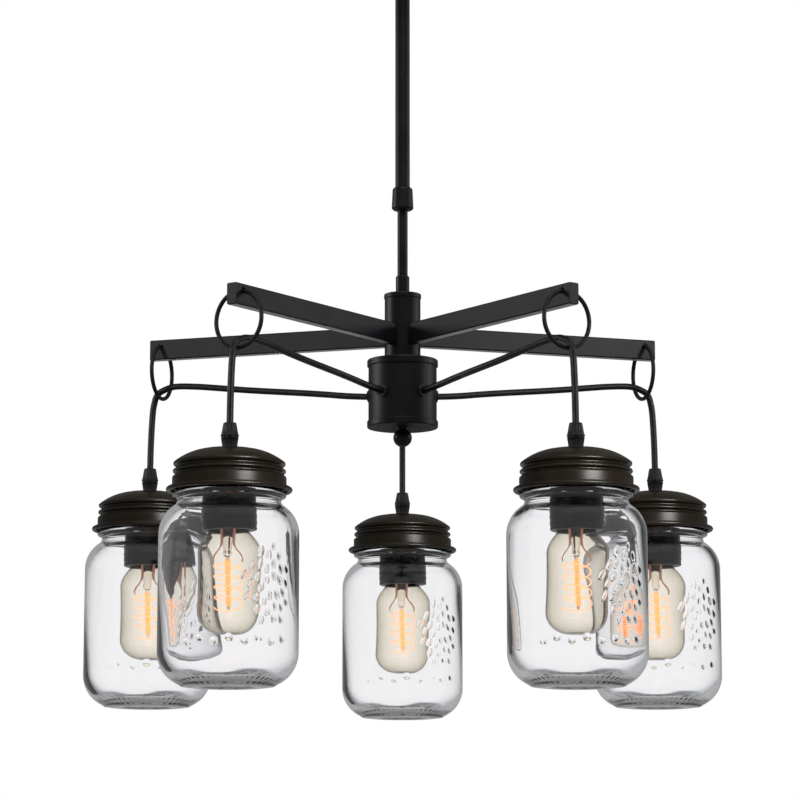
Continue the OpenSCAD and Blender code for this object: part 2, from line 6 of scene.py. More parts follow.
import bmesh
import bpy
import numpy as np
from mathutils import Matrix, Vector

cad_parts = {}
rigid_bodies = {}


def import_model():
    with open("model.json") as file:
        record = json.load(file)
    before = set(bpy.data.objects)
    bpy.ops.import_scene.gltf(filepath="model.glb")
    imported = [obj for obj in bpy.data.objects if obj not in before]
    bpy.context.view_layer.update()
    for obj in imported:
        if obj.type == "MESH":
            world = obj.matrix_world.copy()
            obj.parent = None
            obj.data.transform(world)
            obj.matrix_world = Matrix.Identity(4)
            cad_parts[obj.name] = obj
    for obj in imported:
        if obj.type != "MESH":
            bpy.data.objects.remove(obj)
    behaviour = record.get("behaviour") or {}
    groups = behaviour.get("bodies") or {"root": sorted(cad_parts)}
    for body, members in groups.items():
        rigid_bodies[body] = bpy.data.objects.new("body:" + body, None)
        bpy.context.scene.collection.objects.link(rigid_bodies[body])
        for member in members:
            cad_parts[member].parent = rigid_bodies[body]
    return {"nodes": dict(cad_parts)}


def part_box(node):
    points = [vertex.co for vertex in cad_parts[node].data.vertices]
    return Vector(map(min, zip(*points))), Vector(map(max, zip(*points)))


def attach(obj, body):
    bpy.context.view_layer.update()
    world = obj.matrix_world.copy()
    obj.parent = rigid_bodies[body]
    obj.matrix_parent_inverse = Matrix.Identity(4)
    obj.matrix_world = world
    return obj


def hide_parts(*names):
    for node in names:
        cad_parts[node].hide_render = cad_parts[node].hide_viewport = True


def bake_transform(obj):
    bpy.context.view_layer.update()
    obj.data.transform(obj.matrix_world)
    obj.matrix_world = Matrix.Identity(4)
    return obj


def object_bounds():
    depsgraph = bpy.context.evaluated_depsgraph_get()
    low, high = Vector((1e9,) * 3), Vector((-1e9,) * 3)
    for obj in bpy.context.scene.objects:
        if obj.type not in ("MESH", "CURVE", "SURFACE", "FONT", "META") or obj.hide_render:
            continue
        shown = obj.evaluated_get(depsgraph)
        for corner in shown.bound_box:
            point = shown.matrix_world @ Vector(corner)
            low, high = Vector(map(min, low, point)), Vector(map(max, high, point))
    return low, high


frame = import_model()
cad_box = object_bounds()

# ---------------------------------------------------------------------------------------------
# Studio: a white surround with no seams, a pale floor well below the light, and soft boxes in
# front, at both sides, above and behind.  Flags, at the end, say which pieces each box lights.
# ---------------------------------------------------------------------------------------------


def linear(hex_colour):
    """sRGB hex such as "#1b1b1d" as linear red, green, blue and alpha 1."""
    values = [int(hex_colour[i:i + 2], 16) / 255 for i in (1, 3, 5)]
    return [v / 12.92 if v <= 0.04045 else ((v + 0.055) / 1.055) ** 2.4 for v in values] + [1.0]


def add(tree, kind, settings=(), links=()):
    """Adds a node; settings are (input or property, value), links are (input, output socket)."""
    node = tree.nodes.new(kind)
    for name, value in settings:
        if isinstance(name, str) and hasattr(node, name):
            setattr(node, name, value)
        else:
            node.inputs[name].default_value = value
    for name, socket in links:
        tree.links.new(socket, node.inputs[name])
    return node


def seen_straight(tree):
    """The light path node, and how far a ray shows the white surround: 1 where it has come
    straight or through glass, OFF_GLASS where glass has also mirrored it, and 0 elsewhere."""
    path = add(tree, "ShaderNodeLightPath")
    unscattered = add(tree, "ShaderNodeMath", [("operation", "LESS_THAN"), (1, 0.5)],
                      [(0, path.outputs["Diffuse Depth"])])
    by_glass = add(tree, "ShaderNodeMath", [("operation", "MULTIPLY")],
                   [(0, path.outputs["Is Singular Ray"]), (1, unscattered.outputs[0])])
    share = add(tree, "ShaderNodeMapRange", [("To Min", 1.0), ("To Max", OFF_GLASS)],
                [("Value", path.outputs["Glossy Depth"])])
    shown = add(tree, "ShaderNodeMath", [("operation", "MULTIPLY")],
                [(0, by_glass.outputs[0]), (1, share.outputs[0])])
    return path, add(tree, "ShaderNodeMath", [("operation", "MAXIMUM")],
                     [(0, path.outputs["Is Camera Ray"]), (1, shown.outputs[0])])


scene = bpy.context.scene
scene.view_settings.view_transform = "Standard"

SURROUND = linear("#ffffff")
FILL = 0.5                 # brightness of the surround on dull surfaces
MIRRORED = 0.13            # and in reflections
OFF_GLASS = 0.3            # share of it that still shows after a mirror bounce in glass

world = bpy.data.worlds.new("white_surround")
world.use_nodes = True
scene.world = world
tree = world.node_tree
tree.nodes.clear()
path, seen = seen_straight(tree)
unseen = add(tree, "ShaderNodeMapRange", [("To Min", FILL), ("To Max", MIRRORED)],
             [("Value", path.outputs["Is Glossy Ray"])])
strength = add(tree, "ShaderNodeMapRange", [("To Max", 1.0)],
               [("Value", seen.outputs[0]), ("To Min", unseen.outputs[0])])
glow = add(tree, "ShaderNodeBackground", [("Color", SURROUND)],
           [("Strength", strength.outputs[0])])
add(tree, "ShaderNodeOutputWorld", links=[("Surface", glow.outputs[0])])

FLOOR_DROP = 0.55          # floor below the lowest jar
FLOOR_SIZE = 400.0

half = FLOOR_SIZE / 2
floor_mesh = bpy.data.meshes.new("floor")
floor_z = cad_box[0][2] - FLOOR_DROP
floor_mesh.from_pydata([(-half, -half, floor_z), (half, -half, floor_z), (half, half, floor_z),
                        (-half, half, floor_z)], [], [(0, 1, 2, 3)])
floor = bpy.data.objects.new("floor", floor_mesh)
scene.collection.objects.link(floor)
pale = bpy.data.materials.new("matt_white_board")
pale.use_nodes = True
tree = pale.node_tree
tree.nodes.clear()
# dull board: it takes the object's soft shadow, and shows plain white to the camera
board = add(tree, "ShaderNodeBsdfDiffuse", [("Color", linear("#b4b4b4"))])
lit = add(tree, "ShaderNodeEmission", [("Color", SURROUND)])
_, seen = seen_straight(tree)
white = add(tree, "ShaderNodeMixShader",
            links=[(0, seen.outputs[0]), (1, board.outputs[0]), (2, lit.outputs[0])])
clear = add(tree, "ShaderNodeBsdfTransparent")
side = add(tree, "ShaderNodeNewGeometry")
upper = add(tree, "ShaderNodeMixShader",
            links=[(0, side.outputs["Backfacing"]), (1, white.outputs[0]),
                   (2, clear.outputs[0])])
add(tree, "ShaderNodeOutputMaterial", links=[("Surface", upper.outputs[0])])
floor_mesh.materials.append(pale)


IN_GLASS = 0.02            # share of a soft box that shows in polished glass


def soft_box(name, place, aim, size, watts):
    """A rectangular lamp at place, turned to face aim, with that width and height.  The camera
    sees its light and its reflections alone, and only IN_GLASS of it after a mirror bounce."""
    lamp = bpy.data.lights.new(name, "AREA")
    lamp.use_nodes = True
    path = add(lamp.node_tree, "ShaderNodeLightPath")
    kept = add(lamp.node_tree, "ShaderNodeMapRange", [("To Min", 1.0), ("To Max", IN_GLASS)],
               [("Value", path.outputs["Glossy Depth"])])
    lamp.node_tree.links.new(kept.outputs[0],
                             lamp.node_tree.nodes["Emission"].inputs["Strength"])
    lamp.shape = "RECTANGLE"
    lamp.size, lamp.size_y = size
    lamp.energy = watts
    holder = bpy.data.objects.new(name, lamp)
    scene.collection.objects.link(holder)
    holder.location = place
    way = np.subtract(aim, place)
    holder.rotation_euler = (math.acos(-way[2] / np.linalg.norm(way)), 0,
                             math.atan2(way[1], way[0]) - math.pi / 2)
    holder.visible_camera = False
    holder.visible_transmission = False


MIDDLE = (0.0, 0.0, -0.45)  # what the soft boxes are turned to, among the lids
SOFT_BOXES = {             # place, width and height, watts
    "soft_box_arms_right": ((1.4, -1.36, 0.05), (0.5, 0.3), 8),
    "soft_box_arms_left": ((-1.4, -1.36, 0.05), (0.5, 0.3), 8),
    "soft_box_faces_right": ((1.78, 0.25, 0.08), (0.8, 0.36), 6.5),
    "soft_box_faces_left": ((-1.78, 0.25, 0.08), (0.8, 0.36), 6),
    "soft_box_lids": ((1.0, -1.68, -0.26), (0.9, 0.2), 52),
    "soft_box_domes": ((0.4, -0.9, 1.1), (1.4, 0.7), 26),
    "soft_box_right": ((1.78, 0.25, 0.08), (0.8, 0.36), 9.5),
    "soft_box_left": ((-1.78, 0.25, 0.08), (0.8, 0.36), 10),
    "soft_box_top": ((0.2, -0.9, 1.1), (1.4, 0.7), 28),
    "soft_box_low": ((0.0, 1.9, -0.78), (3.0, 0.4), 45),
}
for name, (place, size, watts) in SOFT_BOXES.items():
    soft_box(name, place, MIDDLE, size, watts)

# ---------------------------------------------------------------------------------------------
# Camera: below the arms, in front of the two near jars, looking slightly up.
# ---------------------------------------------------------------------------------------------
CAMERA_DISTANCE = 2.310    # from the point that the camera looks at
CAMERA_PITCH = math.radians(9.35)
CAMERA_AIM_Z = -0.380      # height of that point
CAMERA_SIDE = -0.0020      # the picture's middle is a little left of the stem
FOCAL_PIXELS = 2991        # focal length for a picture 800 pixels wide
PICTURE_WIDTH = 800

camera = bpy.data.cameras.new("camera")
camera.sensor_width = 36
camera.lens = FOCAL_PIXELS / PICTURE_WIDTH * camera.sensor_width
camera_object = bpy.data.objects.new("camera", camera)
scene.collection.objects.link(camera_object)
camera_object.location = (CAMERA_SIDE, -CAMERA_DISTANCE * math.cos(CAMERA_PITCH),
                          CAMERA_AIM_Z - CAMERA_DISTANCE * math.sin(CAMERA_PITCH))
camera_object.rotation_euler = (math.pi / 2 + CAMERA_PITCH, 0, 0)
scene.camera = camera_object

# ---------------------------------------------------------------------------------------------
# Ceiling fittings: a zinc-plated steel strap with two studs, and a spun steel canopy in satin
# black powder coat held by two domed nuts.
# ---------------------------------------------------------------------------------------------


def material(name, colour, roughness, metallic=0.0):
    """An empty node material with a Principled shader; returns it, its tree and the shader."""
    made = bpy.data.materials.new(name)
    made.use_nodes = True
    shader = made.node_tree.nodes["Principled BSDF"]
    shader.inputs["Base Color"].default_value = linear(colour)
    shader.inputs["Roughness"].default_value = roughness
    shader.inputs["Metallic"].default_value = metallic
    return made, made.node_tree, shader


def powder_coat(name, colour, dust, roughness):
    """Powder coat, sprayed and baked: fine orange peel about 0.6 mm across, and changes of gloss
    and tone some 30 mm across.  The eye gets a satin black with soft, even highlights."""
    made, tree, shader = material(name, colour, roughness)
    place = add(tree, "ShaderNodeTexCoord").outputs["Object"]
    slow = add(tree, "ShaderNodeTexNoise", [("Scale", 35.0), ("Detail", 3.0)], [("Vector", place)])
    peel = add(tree, "ShaderNodeTexNoise", [("Scale", 1600.0), ("Detail", 1.0)],
               [("Vector", place)])
    tone = add(tree, "ShaderNodeValToRGB", links=[("Fac", slow.outputs["Fac"])])
    tone.color_ramp.elements[0].position = 0.35
    tone.color_ramp.elements[0].color = linear(colour)
    tone.color_ramp.elements[1].position = 0.75
    tone.color_ramp.elements[1].color = linear(dust)
    gloss = add(tree, "ShaderNodeMapRange", [("To Min", roughness - 0.05),
                                             ("To Max", roughness + 0.08)],
                [("Value", slow.outputs["Fac"])])
    bump = add(tree, "ShaderNodeBump", [("Strength", 0.12), ("Distance", 0.0001)],
               [("Height", peel.outputs["Fac"])])
    tree.links.new(tone.outputs["Color"], shader.inputs["Base Color"])
    tree.links.new(gloss.outputs[0], shader.inputs["Roughness"])
    tree.links.new(bump.outputs[0], shader.inputs["Normal"])
    shader.inputs["Specular IOR Level"].default_value = 0.24
    return made


# the frame's paint: near black with a breath of blue
black_coat = powder_coat("satin_black_powder_coat", "#0a0b0e", "#121316", 0.36)

# zinc plating, bright from the bath: a grey metal whose 3 mm spangles differ in gloss
zinc, tree, shader = material("zinc_plated_steel", "#a9abad", 0.38, 1.0)
place = add(tree, "ShaderNodeTexCoord").outputs["Object"]
spangle = add(tree, "ShaderNodeTexVoronoi", [("Scale", 320.0)], [("Vector", place)])
dull = add(tree, "ShaderNodeMapRange", [("To Min", 0.3), ("To Max", 0.5)],
           [("Value", spangle.outputs["Color"])])
tree.links.new(dull.outputs[0], shader.inputs["Roughness"])


def finish_cad(node, finish):
    """Gives a CAD node that stays as it is a finish of the right kind."""
    slots = frame["nodes"][node].data.materials
    slots.clear()
    slots.append(finish)


for name in ("mounting_strap", "canopy_screws", "centre_rod"):
    finish_cad(name, zinc)
for name in ("canopy", "canopy_nuts"):
    finish_cad(name, black_coat)

# ---------------------------------------------------------------------------------------------
# Stem: a thick steel tube from the ceiling, a clamping collar, and a thin tube that slides in
# it, all turned or drawn and powder coated.
# ---------------------------------------------------------------------------------------------
MM = 0.001


def eased(outline, cut, steps=3):
    """An outline whose corners are eased: each corner becomes a short quadratic curve that
    starts and ends a distance cut (or 45% of the side) from it."""
    pts = np.asarray(outline, float)
    out = [pts[:1]]
    t = np.linspace(0, 1, steps + 1)[:, None]
    for before, corner, after in zip(pts[:-2], pts[1:-1], pts[2:]):
        a, b = before - corner, after - corner
        la, lb = np.linalg.norm(a), np.linalg.norm(b)
        p = corner + a / la * min(cut, 0.45 * la)
        q = corner + b / lb * min(cut, 0.45 * lb)
        out.append((1 - t) ** 2 * p + 2 * t * (1 - t) * corner + t ** 2 * q)
    out.append(pts[-1:])
    return np.concatenate(out)


def grid_faces(rows, columns, wrap_rows=False):
    """Quads of a grid of closed rings of points, ring after ring."""
    i = np.arange(rows if wrap_rows else rows - 1)[:, None]
    j = np.arange(columns)[None, :]
    i2, j2 = (i + 1) % rows, (j + 1) % columns
    quads = np.stack([i * columns + j, i * columns + j2, i2 * columns + j2, i2 * columns + j], -1)
    return quads.reshape(-1, 4)


def capped_faces(rows, columns):
    """Quads of a grid of closed rings, and one face over each end."""
    last = (rows - 1) * columns
    return ([tuple(f) for f in grid_faces(rows, columns)]
            + [tuple(range(columns - 1, -1, -1)), tuple(range(last, last + columns))])


def settle(piece):
    """Makes the piece's modifiers part of its mesh."""
    bpy.context.view_layer.update()
    final = bpy.data.meshes.new_from_object(
        piece.evaluated_get(bpy.context.evaluated_depsgraph_get()))
    piece.modifiers.clear()
    piece.data = final


def soften(piece, crisp):
    """Smooth shading with edges over crisp degrees sharp, and flat faces that stay flat."""
    piece.data.shade_smooth()
    piece.data.set_sharp_from_angle(angle=math.radians(crisp))
    piece.modifiers.new("flats_stay_flat", "WEIGHTED_NORMAL").keep_sharp = True
    settle(piece)


def new_piece(name, points, faces, finish, crisp=40, cutter=None):
    """A mesh object at the origin from points in metres, less the cutter's points and faces
    where there are any; edges over crisp degrees stay sharp."""
    mesh = bpy.data.meshes.new(name)
    mesh.from_pydata(np.asarray(points).tolist(), [], [list(f) for f in faces])
    mesh.validate()
    shell = bmesh.new()
    shell.from_mesh(mesh)
    bmesh.ops.recalc_face_normals(shell, faces=shell.faces)
    shell.to_mesh(mesh)
    shell.free()
    mesh.materials.append(finish)
    piece = bpy.data.objects.new(name, mesh)
    scene.collection.objects.link(piece)
    if cutter:
        tool = new_piece(name + "_cutter", *cutter, finish)
        cut = piece.modifiers.new("cut", "BOOLEAN")
        cut.object = tool
        cut.solver = "EXACT"
        settle(piece)
        bpy.data.objects.remove(tool)
    soften(piece, crisp)
    return piece


def turned(name, outline, centre, finish, around=96, crisp=40, closed=False, cutter=None):
    """A turned piece: point (r, z) of the outline, in mm, goes round the upright axis through
    centre as (r cos t, r sin t, z).  Where r is 0 at an end, the end is a single point; a
    closed outline joins its last point to its first, as on a tube or ring."""
    line = np.asarray(outline, float) * MM
    turn = np.linspace(0, 2 * math.pi, around, endpoint=False)
    tips = [] if closed else [i for i in (0, -1) if line[i, 0] < 1e-9]
    body = line[(1 if 0 in tips else 0):(-1 if -1 in tips else None)]
    grid = np.stack([np.outer(body[:, 0], np.cos(turn)), np.outer(body[:, 0], np.sin(turn)),
                     np.repeat(body[:, 1:], around, 1)], -1).reshape(-1, 3)
    faces = [tuple(f) for f in grid_faces(len(body), around, wrap_rows=closed)]
    points = [grid]
    following = np.roll(np.arange(around), -1)
    count = len(grid)
    for tip in tips:
        points.append([[0, 0, line[tip, 1]]])
        ring = 0 if tip == 0 else (len(body) - 1) * around
        fan = np.arange(around) + ring
        after = following + ring
        if tip == 0:
            faces += [(count, int(b), int(a)) for a, b in zip(fan, after)]
        else:
            faces += [(count, int(a), int(b)) for a, b in zip(fan, after)]
        count += 1
    return new_piece(name, np.concatenate(points) + centre, faces, finish, crisp, cutter)


def stand_for(piece, body, slot, *nodes):
    """The piece rides on a body and replaces CAD nodes; slot is not used."""
    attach(piece, body)
    if nodes:
        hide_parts(*nodes)


def node_span(node):
    """Middle (x, y), lowest z and highest z of a CAD node, the heights in mm."""
    low, high = np.array(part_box(node))
    return (low + high)[:2] / 2, low[2] / MM, high[2] / MM


AXIS = (0.0, 0.0, 0.0)
STEM_R = 5.7
SLIDER_R = 4.0
STEM_BORE_R = 4.5

_, low, high = node_span("stem_upper")
tube = turned("stem_upper_tube", eased([
    (STEM_BORE_R, high - 30), (STEM_BORE_R, low), (STEM_R, low), (STEM_R, high - 2),
    (STEM_BORE_R, high - 2)], 0.3), AXIS, black_coat, 64)
stand_for(tube, "ceiling_mount", "black_paint", "stem_upper")

_, low, high = node_span("stem_collar")
collar = turned("stem_collar_nut", eased([
    (SLIDER_R + 0.5, low), (7.1, low), (8.5, low + 1.4), (7.8, high - 1.4), (6.4, high),
    (STEM_R, high), (STEM_R, low + 7), (SLIDER_R + 0.5, low + 7)], 0.45),
    AXIS, black_coat, 64, closed=True)
stand_for(collar, "ceiling_mount", "black_paint", "stem_collar")

_, low, high = node_span("stem_lower")
slider = turned("stem_lower_tube", eased([
    (3.0, low), (SLIDER_R, low), (SLIDER_R, high), (3.0, high)], 0.3), AXIS, black_coat, 48,
    closed=True)
stand_for(slider, "frame", "black_paint", "stem_lower")

# ---------------------------------------------------------------------------------------------
# Hub: a ferrule and a lipped cap on a steel tube, with the arms let into it.
# ---------------------------------------------------------------------------------------------
CAP_R = 14.4

_, low, high = node_span("hub_ferrule")
ferrule = turned("hub_ferrule_nut", eased([
    (SLIDER_R, low), (5.3, low), (5.3, high - 0.8), (4.6, high), (SLIDER_R, high)], 0.3),
    AXIS, black_coat, 48, closed=True)
stand_for(ferrule, "frame", "black_paint", "hub_ferrule")

_, low, high = node_span("hub_cap")
cap = turned("hub_cap_disc", eased([
    (3.0, low), (12.3, low), (12.3, low + 1), (CAP_R, low + 1), (CAP_R, high), (3.0, high)],
    0.9, 5), AXIS, black_coat, 96, closed=True)
stand_for(cap, "frame", "black_paint", "hub_cap")
finish_cad("hub_tube", black_coat)

# ---------------------------------------------------------------------------------------------
# Arms: five lengths of rectangular steel tube with soft edges, plugged at the tip and bored
# across for the ring.
# ---------------------------------------------------------------------------------------------
PENDANTS = (1, 2, 3, 4, 5)  # one hangs from each arm
ARM_REACH = 210.0
ARM_H = 16.0
ARM_W = 8.5
ARM_CORNER_R = 1.0
ARM_INNER = 9.0
PLUG_FACE = 1.2
PLUG_SMALLER = 0.3         # the plug's width and height, less than the arm's
RING_INSET = 9.0
RING_HOLE_R = 2.4
RING_HOLE_UP = 3.0
DRILL_SIDES = 32
ARM_Z = sum(node_span("arms")[1:]) / 2
FIRST_ARM = 234
STEP = 72


def arm_turn(k):
    """Direction of arm k, in radians."""
    return math.radians(FIRST_ARM - STEP * (k - 1))


def along_arm(points, k):
    """Points given as (out along the arm, across it, up), in mm, set on arm k, in metres."""
    p = np.asarray(points, float) * MM
    c, s = math.cos(arm_turn(k)), math.sin(arm_turn(k))
    return np.stack([p[..., 0] * c - p[..., 1] * s, p[..., 0] * s + p[..., 1] * c, p[..., 2]], -1)


def rounded_bar(x0, x1, width, height, radius, ease=0.0, corner_steps=4):
    """A bar along x: its section is a rectangle with round corners, drawn in by ease at the
    far end, so the last edge is soft."""
    a = np.linspace(0, math.pi / 2, corner_steps + 1)
    section = np.concatenate([
        np.stack([sy * (width / 2 - radius) + radius * np.cos(a + q * math.pi / 2),
                  sz * (height / 2 - radius) + radius * np.sin(a + q * math.pi / 2)], -1)
        for q, (sy, sz) in enumerate([(1, 1), (-1, 1), (-1, -1), (1, -1)])])
    stations = [(x0, 0), (x1 - ease, 0), (x1 - 0.3 * ease, 0.3 * ease), (x1, ease)]
    grid = np.stack([np.column_stack([
        np.full(len(section), x),
        section[:, 0] * (1 - 2 * draw / width), section[:, 1] * (1 - 2 * draw / height)])
        for x, draw in stations])
    return grid.reshape(-1, 3), capped_faces(len(stations), len(section))


def joined(parts):
    """Several (points, faces) as one."""
    points, faces, count = [], [], 0
    for p, f in parts:
        points.append(p)
        faces += [tuple(i + count for i in face) for face in f]
        count += len(p)
    return np.concatenate(points), faces


bars, plugs = [], []
for k in PENDANTS:
    p, f = rounded_bar(ARM_INNER, ARM_REACH - PLUG_FACE, ARM_W, ARM_H, ARM_CORNER_R, 0.15)
    bars.append((along_arm(p + (0, 0, ARM_Z), k), f))
    p, f = rounded_bar(ARM_REACH - PLUG_FACE, ARM_REACH, ARM_W - PLUG_SMALLER,
                       ARM_H - PLUG_SMALLER, ARM_CORNER_R, 0.45)
    plugs.append((along_arm(p + (0, 0, ARM_Z), k), f))
ring_z = ARM_Z + RING_HOLE_UP
drills = []
turn = np.linspace(0, 2 * math.pi, DRILL_SIDES, endpoint=False)
for k in PENDANTS:
    p = np.concatenate([np.column_stack([
        ARM_REACH - RING_INSET + RING_HOLE_R * np.cos(turn), np.full(DRILL_SIDES, y),
        ring_z + RING_HOLE_R * np.sin(turn)]) for y in (ARM_W, -ARM_W)])
    drills.append((along_arm(p, k), capped_faces(2, DRILL_SIDES)))
arms = new_piece("arm_bars", *joined(bars), black_coat, 50, joined(drills))
stand_for(arms, "frame", "black_paint", "arms")

# moulded nylon of the plugs and bushings: duller and a little greyer than the paint
plug_finish = powder_coat("black_moulded_plug", "#191a1a", "#202121", 0.5)
plug_piece = new_piece("arm_plugs", *joined(plugs), plug_finish, 50)
stand_for(plug_piece, "frame", "plug_plastic", "arm_end_plugs")

# ---------------------------------------------------------------------------------------------
# Drum: a tube between two pressed covers with rolled lips, and the finial ball that the rod
# pulls up under it.
# ---------------------------------------------------------------------------------------------
COVER_R = 27.4
COVER_PLATE = 1.2
COVER_BORE_R = 4.5
DRUM_R = 26.4

_, low, high = node_span("drum_top")
drum_top = turned("drum_cover_top", eased([
    (COVER_BORE_R, high - COVER_PLATE), (DRUM_R, high - COVER_PLATE), (DRUM_R, low),
    (COVER_R, low), (COVER_R, high - 0.6), (COVER_R - 0.6, high), (COVER_BORE_R, high)],
    0.5, 4), AXIS, black_coat, 128, closed=True)
stand_for(drum_top, "frame", "black_paint", "drum_top")
_, low, high = node_span("drum_bottom")
drum_bottom = turned("drum_cover_bottom", eased([
    (COVER_BORE_R, low), (COVER_R - 0.6, low), (COVER_R, low + 0.6), (COVER_R, high),
    (DRUM_R, high), (DRUM_R, low + COVER_PLATE), (COVER_BORE_R, low + COVER_PLATE)],
    0.5, 4), AXIS, black_coat, 128, closed=True)
stand_for(drum_bottom, "frame", "black_paint", "drum_bottom")
finish_cad("drum_body", black_coat)
finish_cad("cord_bushings", plug_finish)

_, low, high = node_span("finial_ball")
BALL_R = 7.2
around_ball = np.radians(np.linspace(-90, 62, 25))
ball_line = np.column_stack([BALL_R * np.cos(around_ball),
                             low + BALL_R + BALL_R * np.sin(around_ball)])
ball_line[0, 0] = 0
ball_line = np.concatenate([ball_line, [(3.4, high), (0, high)]])
ball = turned("finial", ball_line, AXIS, black_coat, 64)
stand_for(ball, "frame", "black_paint", "finial_ball")

# ---------------------------------------------------------------------------------------------
# Rings: closed rings of round wire, each through the hole at its arm's tip.
# ---------------------------------------------------------------------------------------------
RING_MEAN_R = 20.9
WIRE_R = 1.6


def torus(mean, wire, n=96, m=20):
    """Wire carried round a circle that stands across the arm: (x, y, z) =
    (wire sin v, (mean + wire cos v) cos u, (mean + wire cos v) sin u)."""
    u, v = np.meshgrid(np.linspace(0, 2 * math.pi, n, endpoint=False),
                       np.linspace(0, 2 * math.pi, m, endpoint=False), indexing="ij")
    reach = mean + wire * np.cos(v)
    grid = np.stack([wire * np.sin(v), reach * np.cos(u), reach * np.sin(u)], -1)
    return grid.reshape(-1, 3), grid_faces(n, m, wrap_rows=True)[:, ::-1]


# the same paint on drawn wire, where it lies smoother and shines a little more
wire_finish = powder_coat("satin_black_wire", "#101011", "#181819", 0.3)
for k in PENDANTS:
    p, f = torus(RING_MEAN_R, WIRE_R)
    p = along_arm(p + (ARM_REACH - RING_INSET, 0, ring_z - RING_MEAN_R), k)
    stand_for(new_piece(f"hanging_ring_{k}", p, f, wire_finish), f"pendant_{k}", "black_wire",
              f"ring_{k}")

# ---------------------------------------------------------------------------------------------
# Cords: round two-core lamp cord in a smooth dark jacket, 5 mm thick, from the drum over the
# ring and down to the grip on the lid.
# ---------------------------------------------------------------------------------------------
CORD_D = 5.0
# distance from the stem's axis and height from the middle of the arms, in mm
CORD_ROUTE = np.array([
    (24, -46), (29, -46), (46, -44.6), (64, -42.4), (82, -40.4), (100, -38.6), (118, -36.8),
    (136, -34.8), (154, -32.6), (172, -30.6), (190, -29.8), (201, -33), (205.2, -36.7),
    (207.1, -42.5), (208.4, -51), (209.5, -72), (210, -94.5)])

# extruded PVC: smooth, near black, with brown patches about 5 mm across and a thin highlight
jacket, tree, shader = material("dark_pvc_jacket", "#0d0b09", 0.3)
shader.inputs["Specular IOR Level"].default_value = 0.4
place = add(tree, "ShaderNodeTexCoord").outputs["Object"]
mottle = add(tree, "ShaderNodeTexNoise", [("Scale", 220.0), ("Detail", 2.0)], [("Vector", place)])
shade = add(tree, "ShaderNodeValToRGB", links=[("Fac", mottle.outputs["Fac"])])
shade.color_ramp.elements[0].position = 0.4
shade.color_ramp.elements[0].color = linear("#0a0908")
shade.color_ramp.elements[1].position = 0.7
shade.color_ramp.elements[1].color = linear("#15100b")
tree.links.new(shade.outputs["Color"], shader.inputs["Base Color"])
scuff = add(tree, "ShaderNodeMapRange", [("To Min", 0.24), ("To Max", 0.4)],
            [("Value", mottle.outputs["Fac"])])
tree.links.new(scuff.outputs[0], shader.inputs["Roughness"])


def smooth_line(points, per_span=6):
    """A smooth curve through the points: each span is a cubic whose slope at a point is half
    the step between its neighbours."""
    p = np.concatenate([[2 * points[0] - points[1]], points, [2 * points[-1] - points[-2]]])
    t = np.linspace(0, 1, per_span, endpoint=False)[:, None]
    spans = [0.5 * (2 * b + (c - a) * t + (2 * a - 5 * b + 4 * c - d) * t ** 2
                    + (3 * b - a - 3 * c + d) * t ** 3)
             for a, b, c, d in zip(p[:-3], p[1:-2], p[2:-1], p[3:])]
    return np.concatenate(spans + [points[-1:]])


def tube_on(line, radius, sides=16):
    """A round tube along a line: each ring of points stands square to the line, in a frame
    carried along without twist.  Both ends are closed."""
    ahead = np.gradient(line, axis=0)
    ahead /= np.linalg.norm(ahead, axis=1)[:, None]
    side = np.empty_like(line)
    start = np.cross(ahead[0], (0, 0, 1.0))
    if np.linalg.norm(start) < 0.1:
        start = np.cross(ahead[0], (0, 1.0, 0))
    side[0] = start / np.linalg.norm(start)
    for i in range(1, len(line)):
        carried = side[i - 1] - ahead[i] * np.dot(side[i - 1], ahead[i])
        side[i] = carried / np.linalg.norm(carried)
    up = np.cross(ahead, side)
    a = np.linspace(0, 2 * math.pi, sides, endpoint=False)
    grid = (line[:, None] + radius * (np.cos(a)[None, :, None] * side[:, None]
                                      + np.sin(a)[None, :, None] * up[:, None]))
    return grid.reshape(-1, 3), capped_faces(len(line), sides)


route = smooth_line(np.column_stack([CORD_ROUTE[:, 0], np.zeros(len(CORD_ROUTE)),
                                     CORD_ROUTE[:, 1] + ARM_Z]))
for k in PENDANTS:
    line = along_arm(route, k)
    points, faces = tube_on(line, CORD_D / 2 * MM)
    cord = new_piece(f"lamp_cord_{k}", points, faces, jacket)
    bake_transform(cord)
    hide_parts(f"cord_drop_{k}")
    if k == 1:
        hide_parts("cord_runs", "cord_drop_1")

# ---------------------------------------------------------------------------------------------
# Cord grips: moulded black nylon, a ribbed nut that screws down on a ribbed body and so closes
# it on the cord.  The body's tail goes through the lid.
# ---------------------------------------------------------------------------------------------
# nylon moulded in a spark-eroded tool: a grain about 1 mm across spreads its highlight
nylon, tree, shader = material("black_nylon", "#0b0b0c", 0.42)
shader.inputs["Specular IOR Level"].default_value = 0.3
place = add(tree, "ShaderNodeTexCoord").outputs["Object"]
grain = add(tree, "ShaderNodeTexNoise", [("Scale", 900.0), ("Detail", 2.0)], [("Vector", place)])
bump = add(tree, "ShaderNodeBump", [("Strength", 0.2), ("Distance", 0.0001)],
           [("Height", grain.outputs["Fac"])])
tree.links.new(bump.outputs[0], shader.inputs["Normal"])
spread = add(tree, "ShaderNodeMapRange", [("To Min", 0.34), ("To Max", 0.5)],
             [("Value", grain.outputs["Fac"])])
tree.links.new(spread.outputs[0], shader.inputs["Roughness"])

GRIP_RIBS = 16
RIB_DEPTH = 0.28


